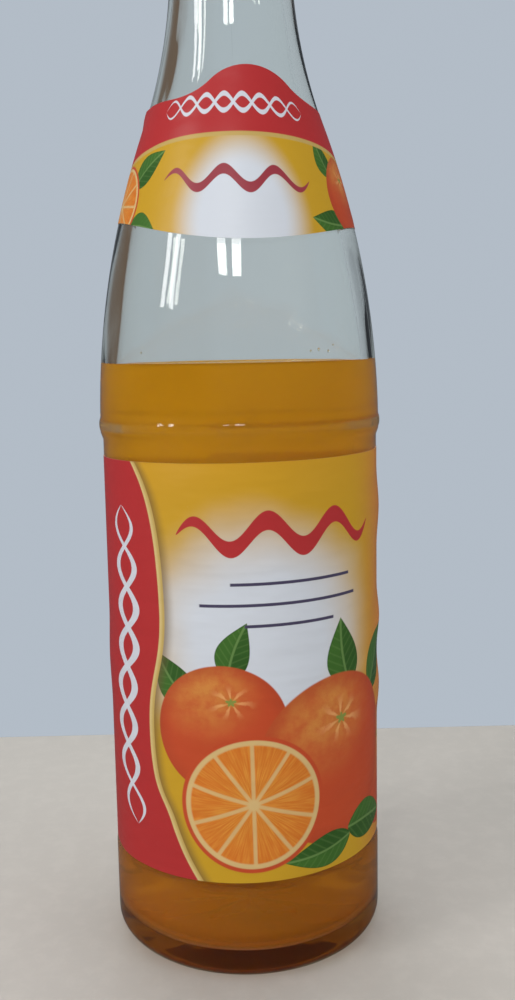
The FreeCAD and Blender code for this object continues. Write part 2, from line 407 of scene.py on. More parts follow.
def make_unroll():
    """The bottle's surface laid flat: millimetres to the right of the front, and up."""
    tree, values, end = new_group(
        "Unroll", {"Radius": 33.0}, ("Around", "Up", "Inner Side")
    )
    here = tree.nodes.new("ShaderNodeTexCoord")
    spot = tree.nodes.new("ShaderNodeSeparateXYZ")
    facing = tree.nodes.new("ShaderNodeSeparateXYZ")
    tree.links.new(here.outputs["Object"], spot.inputs[0])
    tree.links.new(here.outputs["Normal"], facing.inputs[0])
    x, y, z = (Wire(tree, socket) for socket in spot.outputs)
    nx, ny, _ = (Wire(tree, socket) for socket in facing.outputs)
    around, inner_side = x.math("ARCTAN2", -y) * values["Radius"], x * nx + y * ny
    wire_up(tree, end, Around=around, Up=z * 1000.0, Inner_Side=inner_side.ramp(0.002, -0.002))


def make_leaf():
    """A pointed leaf with a midrib and side veins, from its stalk at Base."""
    tree, v, end = new_group(
        "Leaf",
        {**FLAT, "Base Around": 0.0, "Base Up": 0.0, "Turn": 0.0, "Length": 15.0, "Width": 7.0,
         "Mottle": 0.5, "Dark": (0.05, 0.15, 0.02), "Light": (0.13, 0.3, 0.05)},
        ("Colour", "Mask"),
    )
    dx, dy = v["Around"] - v["Base Around"], v["Up"] - v["Base Up"]
    cos, sin = v["Turn"].math("COSINE"), v["Turn"].math("SINE")
    along = (dx * cos + dy * sin) / v["Length"]
    across = (dy * cos - dx * sin) / v["Width"] * 2.0
    across = across - (along * math.pi).math("SINE") * 0.18
    inside = along.math("MAXIMUM", 0.0001).math("MINIMUM", 1.0)
    edge = (inside.math("POWER", 0.72) * math.pi).math("SINE")
    room = edge - across.size()
    mask = room.ramp(0.0, 0.05) * along.ramp(0.0, 0.02) * along.ramp(1.0, 0.98)
    veins = ((along * 8.0 - across.size() * 1.9) * math.tau).math("SINE").ramp(0.45, 1.0)
    rib = across.size().ramp(0.10, 0.03)
    light = across.ramp(-0.15, 0.25) * 0.5 + along.ramp(0.3, 1.1) * 0.25 + v["Mottle"] * 0.4 - 0.12
    colour = mix(light.ramp(0.0, 1.0, "LINEAR"), v["Dark"], v["Light"])
    colour = mix((veins * 0.14).math("MAXIMUM", rib * 0.5), colour, (0.20, 0.34, 0.10))
    colour = mix(room.ramp(0.14, 0.0) * 0.45, colour, (0.02, 0.06, 0.01))
    wire_up(tree, end, Colour=colour, Mask=mask)


def make_whole_orange():
    """A round orange with dimpled peel and the small star where its stalk was."""
    tree, v, end = new_group(
        "Whole Orange",
        {**FLAT, **ROUND, "Star Across": 0.0, "Star Over": 0.4, "Mottle": 0.5, "Pores": 1.0,
         "Dark": (0.6, 0.1, 0.03), "Light": (0.8, 0.35, 0.08)},
        ("Colour", "Mask"),
    )
    dx = (v["Around"] - v["Centre Around"]) / v["Radius"]
    dy = (v["Up"] - v["Centre Up"]) / v["Radius"]
    far = (dx * dx + dy * dy * 1.06).math("SQRT")
    lit = ((dx + 0.22) * (dx + 0.22) + (dy - 0.62) * (dy - 0.62)).math("SQRT")
    mottle, pores = v["Mottle"], v["Pores"]
    light = lit.ramp(0.98, 0.05) * (mottle.ramp(0.25, 0.75) * 0.8 + 0.35)
    colour = mix(light, v["Dark"], v["Light"])
    colour = mix(pores.ramp(0.25, 0.05) * 0.22, colour, (0.42, 0.07, 0.02))
    sx, sy = dx - v["Star Across"], dy - v["Star Over"]
    near = (sx * sx + sy * sy * 2.0).math("SQRT")
    spoke = sy.math("ARCTAN2", sx)
    creases = ((spoke * 7.0 + mottle * 5.0).math("SINE").ramp(0.1, 1.0)) * near.ramp(0.42, 0.08)
    colour = mix(creases * 0.5, colour, (0.90, 0.52, 0.20))
    colour = mix(near.ramp(0.16, 0.05) * 0.6, colour, (0.50, 0.20, 0.03))
    star = near - (spoke * 5.0).math("SINE") * 0.022
    colour = mix(star.ramp(0.075, 0.055), colour, (0.22, 0.26, 0.05))
    colour = mix(far.ramp(0.72, 1.0) * 0.55, colour, (0.40, 0.05, 0.015))
    wire_up(tree, end, Colour=colour, Mask=far.ramp(1.0, 0.975))


def make_cut_orange():
    """A cut orange seen from its open side: peel, pith, and ten wedges of flesh."""
    tree, v, end = new_group(
        "Cut Orange",
        {**FLAT, **ROUND, "Turn": 0.0, "Peel": (0.7, 0.2, 0.03), "Pith": (0.8, 0.66, 0.34),
         "Flesh": (0.86, 0.36, 0.03)},
        ("Colour", "Mask"),
    )
    dx = (v["Around"] - v["Centre Around"]) / v["Radius"]
    dy = (v["Up"] - v["Centre Up"]) / v["Radius"]
    far = (dx * dx + dy * dy * 1.08).math("SQRT")
    spoke = dy.math("ARCTAN2", dx) + v["Turn"]
    part = (spoke * (WEDGES / math.tau)).math("FRACT")
    skin = part.math("MINIMUM", -part + 1.0) * (math.tau / WEDGES) * far
    fibre = noise(across_up(spoke * 26.0, far * 3.0), Scale=1.0, Detail=3.0)
    colour = mix(fibre.ramp(0.3, 0.8), v["Flesh"], (0.70, 0.30, 0.04))
    colour = mix(far.ramp(0.25, 0.82) * 0.35, colour, (0.62, 0.14, 0.01))
    colour = mix(skin.ramp(0.040, 0.014) * 0.85, colour, v["Pith"])
    colour = mix(far.ramp(0.10, 0.05), colour, v["Pith"])
    colour = mix(far.ramp(0.84, 0.875), colour, v["Pith"])
    colour = mix(far.ramp(0.915, 0.94), colour, v["Peel"])
    wire_up(tree, end, Colour=colour, Mask=far.ramp(1.0, 0.975))


def make_wave():
    """One brush stroke that swings from side to side and tapers at both ends."""
    tree, v, end = new_group(
        "Wave Stroke",
        {"Along": 0.0, "Across": 0.0, "Length": 40.0, "Swing": 2.0, "Pitch": 20.0, "Shift": 0.0,
         "Thickness": 2.0},
        ("Mask",),
    )
    line = ((v["Along"] / v["Pitch"] + v["Shift"]) * math.tau).math("SINE") * v["Swing"]
    part = (v["Along"] / v["Length"]).math("MAXIMUM", 0.0).math("MINIMUM", 1.0)
    body = (part * math.pi).math("SINE").math("POWER", 0.45) * v["Thickness"] * 0.5
    wire_up(tree, end, Mask=(body - (v["Across"] - line).size()).ramp(0.0, 0.22))


def make_paper():
    """Coated paper: fine fibre, soft cockling and a few rubbed places."""
    tree, v, end = new_group(
        "Coated Paper", {**FLAT, "Cockling": 1.0}, ("Height", "Rubbed", "Roughness")
    )
    flat = across_up(v["Around"], v["Up"])
    fibre = noise(flat, Scale=6.0, Detail=4.0, Roughness=0.7)
    stretched = across_up(v["Around"] * 0.35, v["Up"])
    waves = noise(stretched, Scale=0.16, Detail=2.0)
    rub = noise(flat, Scale=0.9, Detail=6.0, Roughness=0.75)
    height, roughness = fibre * 0.012 + waves * v["Cockling"], fibre * 0.12 + rub * 0.14 + 0.26
    wire_up(tree, end, Height=height, Rubbed=rub.ramp(0.62, 0.80), Roughness=roughness)


def make_handling():
    """Marks of use: fine scratches and the odd smear, as a mask from 0 to 1."""
    tree, v, end = new_group("Handling Marks", {**FLAT, "Size": 1.0}, ("Scratches", "Smears"))
    fine = across_up(v["Around"] * 0.25 * v["Size"], v["Up"] * 3.0 * v["Size"])
    lines = noise(fine, Scale=1.2, Detail=6.0, Roughness=0.8)
    soft = across_up(v["Around"], v["Up"])
    smears = noise(soft, Scale=0.07, Detail=4.0, Distortion=1.2)
    wire_up(tree, end, Scratches=lines.ramp(0.58, 0.78), Smears=smears.ramp(0.45, 0.75))


# -------------------- materials


def lamp_pass(tree, output, shader, tint):
    """Let lamps shine through a clear shader, so that what lies behind it is lit."""
    see = tree.nodes.new("ShaderNodeLightPath")
    clear = tree.nodes.new("ShaderNodeBsdfTransparent")
    clear.inputs["Color"].default_value = (*tint, 1.0)
    blend = tree.nodes.new("ShaderNodeMixShader")
    tree.links.new(see.outputs["Is Shadow Ray"], blend.inputs[0])
    tree.links.new(shader, blend.inputs[1])
    tree.links.new(clear.outputs[0], blend.inputs[2])
    tree.links.new(blend.outputs[0], output.inputs["Surface"])


def absorb(tree, output, colour, density):
    """Take light away inside a clear piece, the more the deeper."""
    tint = add(tree, "ShaderNodeVolumeAbsorption", Color=colour, Density=density)
    feed(tree, output.inputs["Volume"], tint)


def glass_material():
    material, tree, shader, output = new_material("Clear Glass")
    flat = place(tree, "Unroll", Radius=31.6)
    around, up = flat["Around"], flat["Up"]
    marks = place(tree, "Handling Marks", Around=around, Up=up)
    bead = (up - BEAD_UP).size().ramp(2.4, 0.6) + (up - 3.0).size().ramp(3.5, 1.0) * 0.25
    worn = bead * (marks["Scratches"] * 0.8 + marks["Smears"] * 0.5)
    rough = worn * 0.45 + marks["Smears"] * 0.015 + 0.012
    colour = mix(worn, (0.97, 0.985, 0.975), (0.80, 0.80, 0.78))
    ripple = noise(across_up(around, up * 0.5), Scale=0.05, Detail=1.0)
    seam = (around.size() - 49.6).size().ramp(0.35, 0.0) * up.ramp(233.0, 230.0)
    height = ripple * 0.9 + marks["Scratches"] * worn * 0.02 + seam * 0.03
    wire_up(
        tree, shader, Base_Color=colour, Roughness=rough, IOR=1.5, Transmission_Weight=1.0,
        Normal=relief(height, 0.6),
    )
    lamp_pass(tree, output, shader.outputs[0], (0.93, 0.95, 0.94))
    absorb(tree, output, (0.62, 0.66, 0.40), 26.0)
    return material


def wear_material():
    """Glass rubbed grey: solid where it is scuffed, clear between the scuffs."""
    material, tree, shader, _ = new_material("Scuffed Glass")
    flat = place(tree, "Unroll", Radius=33.9)
    marks = place(tree, "Handling Marks", Around=flat["Around"], Up=flat["Up"], Size=0.8)
    ring = (flat["Up"] - BEAD_UP).size().ramp(1.35, 0.5)
    sides = flat["Around"].size().ramp(20.0, 46.0) * 0.85 + 0.06
    patch = (marks["Smears"] * 0.7 + 0.3) * sides
    solid = ring * (marks["Scratches"] * 0.9 + 0.8) * patch
    shade = mix(marks["Scratches"], (0.22, 0.20, 0.14), (0.40, 0.38, 0.31))
    rough = marks["Scratches"] * 0.2 + 0.6
    wire_up(tree, shader, Base_Color=shade, Roughness=rough, Alpha=solid.math("MINIMUM", 0.75))
    return material


def soda_material():
    material, tree, shader, output = new_material("Orange Soda")
    flat = place(tree, "Unroll", Radius=30.0)
    cloud = noise(across_up(flat["Around"], flat["Up"] * 1.6), Scale=0.035, Detail=3.0)
    colour = mix(cloud.ramp(0.3, 0.7), (0.86, 0.43, 0.005), (0.92, 0.47, 0.008))
    # painted shade: the drink turns darker and redder towards its base
    colour = mix(flat["Up"].ramp(60.0, 14.0) * 0.9, colour, (0.76, 0.25, 0.004))
    wire_up(
        tree, shader, Base_Color=colour, Roughness=cloud * 0.05 + 0.03, IOR=DRINK_IOR,
        Specular_Tint=(0.3, 0.3, 0.3), Transmission_Weight=0.68,
    )
    lamp_pass(tree, output, shader.outputs[0], (0.75, 0.45, 0.08))
    absorb(tree, output, (0.91, 0.79, 0.20), 66.0)
    return material


def drop_material():
    material, tree, shader, output = new_material("Drops of Soda")
    wire_up(
        tree, shader, Base_Color=(0.96, 0.90, 0.74), Roughness=0.02, IOR=DRINK_IOR,
        Transmission_Weight=1.0,
    )
    lamp_pass(tree, output, shader.outputs[0], (0.95, 0.92, 0.85))
    return material


class Artwork:
    """What is printed on a paper so far, with the inks and the grain that its motifs share."""

    def __init__(self, inks, colour, around, up):
        self.inks, self.colour, self.around, self.up = inks, colour, around, up
        flat, self.tree = across_up(around, up), around.tree
        mottle = noise(flat, Scale=0.22, Detail=4.0, Roughness=0.65)
        pores = add(self.tree, "ShaderNodeTexVoronoi", Vector=flat, Scale=1.5, Randomness=1.0)
        self.leaf = {"Dark": inks.leaf, "Light": inks.leaf_light, "Mottle": mottle}
        self.peel = {
            "Dark": inks.orange, "Light": inks.orange_light, "Mottle": mottle, "Pores": pores
        }
        self.inside = {"Peel": inks.orange, "Pith": inks.pith, "Flesh": inks.flesh}

    def over(self, mask, colour):
        """Print a colour over what is there, as far as the mask says."""
        self.colour = mix(mask, self.colour, colour)

    def motif(self, group, **values):
        drawn = place(self.tree, group, Around=self.around, Up=self.up, **values)
        self.over(drawn["Mask"], drawn["Colour"])

    def leaves(self, *rows):
        for around, up, degrees, size, width in rows:
            self.motif(
                "Leaf", Base_Around=around, Base_Up=up, Turn=math.radians(degrees), Length=size,
                Width=width, **self.leaf,
            )

    def oranges(self, *rows):
        for around, up, radius, star_across, star_over in rows:
            self.motif(
                "Whole Orange", Centre_Around=around, Centre_Up=up, Radius=radius,
                Star_Across=star_across, Star_Over=star_over, **self.peel,
            )

    def cut_orange(self, around, up, radius, turn):
        self.motif(
            "Cut Orange", Centre_Around=around, Centre_Up=up, Radius=radius, Turn=turn,
            **self.inside,
        )

    def stroke(self, colour, cover, along, across, length, swing, pitch, thickness, shift=0.0):
        drawn = place(
            self.tree, "Wave Stroke", Along=along, Across=across, Length=length, Swing=swing,
            Pitch=pitch, Shift=shift, Thickness=thickness,
        )
        self.over(drawn["Mask"] * cover, colour)

    def twist(self, *shape):
        """Two pale strokes that cross each other again and again."""
        for shift in (0.0, 0.5):
            self.stroke(self.inks.white, 0.95, *shape, shift=shift)


def curve_through(tree, value, low, high, points):
    """A smooth line through points (height, place), as a Float Curve node."""
    places = [p[1] for p in points]
    floor, top = min(places), max(places)
    node = tree.nodes.new("ShaderNodeFloatCurve")
    line = node.mapping.curves[0]
    while len(line.points) < len(points):
        line.points.new(0.5, 0.5)
    for point, (height, across) in zip(line.points, points):
        point.location = ((height - low) / (high - low), (across - floor) / (top - floor))
    node.mapping.update()
    feed(tree, node.inputs["Value"], value.ramp(low, high, "LINEAR"))
    return Wire(tree, node.outputs[0]) * (top - floor) + floor


def label_paper(tree, shader, flat, colour, bare, cockling):
    """Coated paper under a print, white on its inner side."""
    paper = place(tree, "Coated Paper", Around=flat["Around"], Up=flat["Up"], Cockling=cockling)
    colour = mix(paper["Rubbed"] * 0.10, colour, bare)
    wire_up(
        tree, shader, Base_Color=mix(flat["Inner Side"], colour, bare), Specular_IOR_Level=0.35,
        Roughness=paper["Roughness"] + flat["Inner Side"] * 0.3,
        Normal=relief(paper["Height"], 0.5),
    )


def body_label_material(inks):
    material, tree, shader, _ = new_material("Body Label Print")
    flat = place(tree, "Unroll", Radius=33.1)
    around = flat["Around"]
    up = flat["Up"] - around * ASKEW
    # golden field that pales towards the middle and turns orange at the far right
    glow_across, glow_up = (around - 4.0) / 31.0, (up - 80.0) / 30.0
    glow = (glow_across * glow_across + glow_up * glow_up).math("SQRT")
    soft = noise(across_up(around, up), Scale=0.05, Detail=2.0)
    field = mix((glow + (soft - 0.5) * 0.3).ramp(1.15, 0.45), inks.yellow, inks.white)
    art = Artwork(inks, field, around, up)
    art.over(up.ramp(98.0, 124.0) * 0.35, (0.62, 0.28, 0.012))
    art.over((around + 5.0).size().ramp(32.0, 55.0) * 0.8, (0.62, 0.17, 0.045))
    # leaves and oranges, the farthest first
    art.leaves(
        (-12.0, 66.0, 128.0, 15.0, 9.0), (-4.0, 72.0, 70.0, 14.0, 8.0),
        (36.0, 63.0, 48.0, 20.0, 11.0), (27.0, 67.0, 100.0, 17.0, 10.5),
    )
    art.oranges(
        (46.0, 42.0, 16.0, -0.1, 0.45), (-5.5, 60.5, 15.5, 0.15, 0.42),
        (23.0, 50.5, 21.0, 0.05, 0.45),
    )
    art.leaves((26.0, 32.5, -8.0, 20.0, 9.5), (27.0, 31.0, -172.0, 19.0, 8.0))
    art.cut_orange(1.5, 43.0, 17.0, 0.3)
    # a swinging brush stroke and three fine rules
    art.stroke(inks.red, 1.0, around + 15.0, up - 104.5, 50.0, 3.1, 16.6, 4.6)
    for height, middle, half in ((93.6, 12.0, 15.0), (88.9, 9.5, 19.5), (84.2, 11.0, 11.0)):
        beside = (around - middle).size().ramp(half, half - 0.4)
        art.over((up - height).size().ramp(0.42, 0.28) * beside, inks.small)
    # bare panel at the back
    panel = (around.size() - 78.0).size().ramp(18.0, 17.6) * (up - 72.0).size().ramp(34.0, 33.6)
    art.over(panel * 0.85, inks.white)
    # red side band with a gold rim and a soft shadow
    edge = curve_through(
        tree, up, 24.0, 121.0,
        [(24.0, -11.5), (38.0, -18.5), (57.0, -24.0), (88.0, -20.0), (121.0, -28.5)],
    )
    beyond = around - edge
    band = around.ramp(-60.3, -60.0)
    art.over(beyond.ramp(4.5, 0.9) * band * 0.7, (0.13, 0.08, 0.035))
    rim = mix(beyond.ramp(1.2, 0.2), inks.gold, (0.62, 0.47, 0.19))
    art.over(beyond.ramp(1.55, 1.3) * band, rim)
    # painted shade: the red darkens a little towards the bottom
    red = mix(up.ramp(120.0, 30.0) * 0.4, inks.red, (0.40, 0.02, 0.02))
    art.over(beyond.ramp(0.15, -0.15) * band, red)
    middle = (edge + 60.0) * 0.5 - 60.0 + 9.0
    art.twist(up - 34.0, around - middle, 76.0, 3.5, 19.0, 2.8)
    label_paper(tree, shader, flat, art.colour, inks.paper, 1.0)
    return material


def collar_material(inks):
    material, tree, shader, _ = new_material("Collar Print")
    flat = place(tree, "Unroll", Radius=26.0)
    around = flat["Around"]
    up = flat["Up"] + around * 0.018
    glow_across, glow_up = (around - 1.5) / 12.5, (up - 172.0) / 17.0
    glow = (glow_across * glow_across + glow_up * glow_up).math("SQRT")
    art = Artwork(inks, mix(glow.ramp(1.25, 0.65), inks.yellow, inks.white), around, up)
    art.leaves(
        (-27.0, 180.0, 38.0, 12.0, 6.5), (-26.0, 171.5, -12.0, 9.0, 6.0),
        (27.5, 172.0, 176.0, 11.0, 6.5), (26.0, 182.0, 112.0, 10.0, 6.0),
    )
    art.oranges((33.0, 178.5, 10.0, -0.2, 0.4))
    art.cut_orange(-33.5, 176.5, 9.5, 0.1)
    art.stroke(inks.wine, 1.0, around + 16.5, up - 180.5, 34.0, 2.0, 11.3, 2.6)
    # red band above a gold rim
    edge = curve_through(
        tree, around, -40.0, 40.0,
        [(-40.0, 183.0), (-26.0, 188.0), (-2.0, 190.6), (20.0, 190.0), (40.0, 185.5)],
    )
    over = up - edge
    art.over(over.ramp(-1.1, -0.8), inks.gold)
    art.over(over.ramp(-0.15, 0.15), inks.red)
    lift = (around / 15.0).math("COSINE") * 1.6 + 195.6
    art.twist(around + 20.5, up - lift, 41.0, 1.9, 10.25, 1.4)
    label_paper(tree, shader, flat, art.colour, inks.paper, 0.7)
    return material


# -------------------- pieces


SHOULDER_LIP = 0.55 * MM  # how far the shoulder's foot stands out from the panel
SHOULDER_SHARE = 0.633  # where the shoulder's curve turns, from its foot to its head
LAND_INSET = 1.3 * MM  # how far the screw thread's land lies inside the neck's outline
DOME = 7.5 * MM  # top of the inner floor
CORNER_ROUND = 7.0 * MM
CORNER_RISE = 4.5 * MM
SLOPE = 1.5 * MM  # at both ends of the panel
HEEL_LIP, HEEL_ROUND = 0.25 * MM, 5.0 * MM
STANDING = 2.4 * MM  # width of the ring that the bottle stands on
RING_REACH, RING_HEIGHT = 1.0 * MM, 4.4 * MM  # bead at the foot of the finish
LIP_ROUND, MOUTH_ROUND = 1.2 * MM, 0.9 * MM
THROAT = 12.5 * MM  # depth of the straight bore


def shoulder_points(sizes, outside=False):
    """Foot, turning point and head of the S-shaped shoulder, outside or on the inner wall."""
    inset = (-SHOULDER_LIP, 0.0) if outside else (sizes.wall, sizes.neck_wall)
    foot = (sizes.panel - inset[0], sizes.shoulder)
    head = (sizes.neck - inset[1], sizes.height - sizes.finish)
    middle = tuple(a + (b - a) * SHOULDER_SHARE for a, b in zip(foot, head))
    return foot, middle, head


def inner_shoulder(sizes):
    """Foot and centre of the long arc that the drink touches."""
    foot, middle, _ = shoulder_points(sizes)
    return foot, arc_centre(foot, middle, upright="start")


def contact_bead(sizes):
    """Crest and centre of the bead where bottles touch."""
    crest = (sizes.bead - 0.02 * MM, sizes.shoulder + 1.9 * MM)
    root = (sizes.panel + 0.05 * MM, crest[1] - 2.6 * MM)
    return crest, arc_centre(root, crest, upright="end")


def draw_outside(section, sizes):
    """The outside, from the middle of the base to the lip."""
    heel = sizes.panel + HEEL_LIP
    section.arc_to(heel - HEEL_ROUND - STANDING, 0, level="start", steps=14)
    section.line_to(heel - HEEL_ROUND, 0, cuts=3)
    section.arc_to(heel, HEEL_ROUND, upright="end", steps=10)
    section.line_to(heel, sizes.heel, cuts=4)
    section.line_to(sizes.panel, sizes.heel + SLOPE, cuts=2)
    section.line_to(sizes.panel, sizes.shoulder - SLOPE, cuts=16)
    foot, middle, head = shoulder_points(sizes, outside=True)
    section.line_to(*foot, cuts=2)
    crest, bead_centre = contact_bead(sizes)
    bead_reach = crest[0] - bead_centre[0]
    start_up = crest[1] - math.sqrt(bead_reach**2 - (foot[0] - bead_centre[0]) ** 2)
    section.line_to(foot[0], start_up)
    section.arc_to(*crest, centre=bead_centre, steps=5)
    long_centre = arc_centre(foot, middle, upright="start")
    up = 2 * crest[1] - start_up
    for _ in range(4):
        across = on_circle(long_centre, foot, up)
        up = crest[1] + math.sqrt(bead_reach**2 - (across - bead_centre[0]) ** 2)
    section.arc_to(on_circle(long_centre, foot, up), up, centre=bead_centre, steps=5)
    section.arc_to(*middle, centre=long_centre, steps=26)
    section.arc_to(*head, upright="end", steps=18)
    foot_up = head[1]
    crest_up = foot_up + RING_HEIGHT / 2
    section.arc_to(sizes.neck + RING_REACH, crest_up, upright="end", steps=6)
    land = sizes.neck - LAND_INSET
    section.arc_to(land, foot_up + RING_HEIGHT, upright="start", steps=7)
    section.line_to(land, sizes.height - LIP_ROUND, cuts=8)
    section.arc_to(land - LIP_ROUND, sizes.height, upright="start", steps=6)


def draw_inside(section, sizes):
    """The inside, from the lip down to the middle of the floor."""
    section.line_to(sizes.bore + MOUTH_ROUND, sizes.height, cuts=2)
    section.arc_to(sizes.bore, sizes.height - MOUTH_ROUND, upright="end", steps=5)
    section.line_to(sizes.bore, sizes.height - THROAT, cuts=4)
    foot, middle, head = shoulder_points(sizes)
    section.line_to(*head, cuts=3)
    section.arc_to(*middle, upright="start", steps=18)
    section.arc_to(*foot, upright="end", steps=26)
    section.line_to(foot[0], DOME + CORNER_RISE, cuts=20)
    section.arc_to(*floor_corner(sizes, 0), upright="start", steps=10)
    section.arc_to(0, DOME, level="end", steps=12)


def floor_corner(sizes, sunk):
    """Where the floor's round corner meets its dome, moved into the glass by sunk."""
    reach = sizes.panel - sizes.wall - CORNER_ROUND
    curve = (reach**2 + CORNER_RISE**2 - CORNER_ROUND**2) / (2 * (CORNER_ROUND - CORNER_RISE))
    meet = curve / (curve + CORNER_ROUND)
    return reach * meet, DOME - curve + (CORNER_RISE + curve) * meet - sunk


def make_thread(sizes):
    """The screw thread: a small round-topped rib wound one and a half times round the land."""
    land = sizes.neck - LAND_INSET
    turns = 1.55
    foot = sizes.height - 11.0 * MM
    root, flank = land - 0.3 * MM, land + sizes.thread_reach * 0.75
    section = Section("thread_rib", root, foot - 1.1 * MM)
    section.line_to(land, foot - 1.05 * MM)
    section.line_to(flank, foot - 0.5 * MM)
    middle = (land + sizes.thread_reach * 0.45, foot)
    section.arc_to(flank, foot + 0.5 * MM, centre=middle, steps=4)
    section.line_to(land, foot + 1.05 * MM)
    section.line_to(root, foot + 1.1 * MM)
    section.close_face()
    leave_edit()
    rib = section.piece
    corners = len(rib.data.vertices)
    steps = int(96 * turns)
    apply_modifier(
        rib, "SCREW", axis="Z", angle=math.tau * turns, screw_offset=sizes.thread_pitch * turns,
        steps=steps, render_steps=steps, use_smooth_shade=True,
    )
    rings = len(rib.data.vertices) // corners
    for vertex in rib.data.vertices:  # both ends run out into the land
        ring = vertex.index // corners
        rise = min(1.0, (min(ring, rings - 1 - ring) + 0.5) / 9)
        across = math.hypot(vertex.co.x, vertex.co.y)
        sunk = (across - land + 0.35 * MM) * (1 - math.sin(rise * math.pi / 2))
        vertex.co.x *= 1 - sunk / across
        vertex.co.y *= 1 - sunk / across
    pick(rib)
    edit()
    bpy.ops.mesh.fill_holes(sides=0)
    face_outward()
    return rib


class BOTTLE_OT_glass(bpy.types.Operator):
    """Turn the bottle's glass from one outline"""

    bl_idname = "bottle.glass"
    bl_label = "Glass"

    def execute(self, context):
        sizes = context.scene.bottle_sizes
        section = Section("glass", 0, 3.5 * MM)
        draw_outside(section, sizes)
        draw_inside(section, sizes)
        glass = section.turn()
        join_solid(glass, make_thread(sizes), "UNION")
        smooth(glass)
        finish_piece(glass, glass_material(), "bottle")
        return {"FINISHED"}


class BOTTLE_OT_wear(bpy.types.Operator):
    """Rub the contact bead dull where bottles knock together"""

    bl_idname = "bottle.wear"
    bl_label = "Worn Bead"

    def execute(self, context):
        crest, centre = contact_bead(context.scene.bottle_sizes)
        skin = 0.015 * MM
        reach = crest[0] - centre[0] + skin
        swing = math.radians(17)
        across, up = centre[0] + reach * math.cos(swing), reach * math.sin(swing)
        section = Section("contact_wear", across, crest[1] - up)
        section.arc_to(across, crest[1] + up, centre=centre, steps=12)
        wear = section.turn()
        apply_modifier(wear, "SOLIDIFY", thickness=0.008 * MM, offset=-1.0)
        smooth(wear, 60)
        finish_piece(wear, wear_material(), "bottle")
        return {"FINISHED"}


class BOTTLE_OT_drink(bpy.types.Operator):
    """Fill the bottle with soda that creeps up the glass at its edge"""

    bl_idname = "bottle.drink"
    bl_label = "Drink"

    def execute(self, context):
        sizes = context.scene.bottle_sizes
        sunk = 0.05 * MM
        wall = sizes.panel - sizes.wall + sunk
        section = Section("drink", 0, DOME - sunk)
        section.arc_to(*floor_corner(sizes, sunk), level="start", steps=12)
        section.arc_to(wall, DOME + CORNER_RISE, upright="end", steps=10)
        section.line_to(wall, sizes.shoulder, cuts=20)
        edge_up = sizes.drink
        level = edge_up - sizes.climb
        foot, inner = inner_shoulder(sizes)
        rim = on_circle(inner, foot, edge_up) + sunk
        section.arc_to(rim, edge_up, centre=(inner[0] + sunk, inner[1]), steps=8)
        for inward in (0.12, 0.3, 0.55, 0.9, 1.35, 1.9, 2.6, 3.5, 4.7, 6.5, 9.0, 14.0, 22.0):
            sag = math.exp(-(inward - 0.06) / 1.9)
            section.line_to(rim - inward * MM, level + sizes.climb * sag)
        section.line_to(0, level)
        drink = section.turn()
        smooth(drink, 60)
        finish_piece(drink, soda_material(), "soda")
        return {"FINISHED"}


class BOTTLE_OT_drops(bpy.types.Operator):
    """Leave a few small drops on the inside of the glass, just above the drink"""

    bl_idname = "bottle.drops"
    bl_label = "Drops"

    def execute(self, context):
        sizes = context.scene.bottle_sizes
        foot, inner = inner_shoulder(sizes)
        deselect()
        drops = []
        for degrees, height, radius in (
            (31, 143.6, 0.24), (35, 143.9, 0.30), (40, 143.5, 0.27), (43, 144.8, 0.20),
            (-44, 143.8, 0.22),
        ):
            turn = math.radians(degrees)
            across = on_circle(inner, foot, height * MM) - 0.15 * radius * MM
            bpy.ops.mesh.primitive_uv_sphere_add(
                segments=20, ring_count=12, radius=radius * MM,
                location=(math.sin(turn) * across, -math.cos(turn) * across, height * MM),
                rotation=(0, 0, turn), scale=(1.0, 0.55, 1.1),
            )
            bpy.ops.object.transform_apply(location=True, rotation=True, scale=True)
            drop = bpy.context.object
            drops.append(drop)
            low = min((v.co.copy() for v in drop.data.vertices), key=lambda co: co.z)
            pull(drop, low, (0, 0, -0.4 * radius * MM), 1.4 * radius * MM)  # it sags a little
        pick(drops[0])
        for drop in drops[1:]:
            drop.select_set(True)
        bpy.ops.object.join()
        drops[0].name = drops[0].data.name = "drops"
        smooth(drops[0], 60)
        finish_piece(drops[0], drop_material(), "soda")
        return {"FINISHED"}


def wind_paper(section, steps, angle, start):
    """Wind an upright line round the bottle, clockwise from above, from an angle off +X."""
    bpy.ops.mesh.select_all(action="SELECT")
    bpy.ops.mesh.spin(steps=steps, angle=angle, center=(0, 0, 0), axis=(0, 0, 1))
    leave_edit()
    section.piece.data.transform(Matrix.Rotation(start, 4, "Z"))


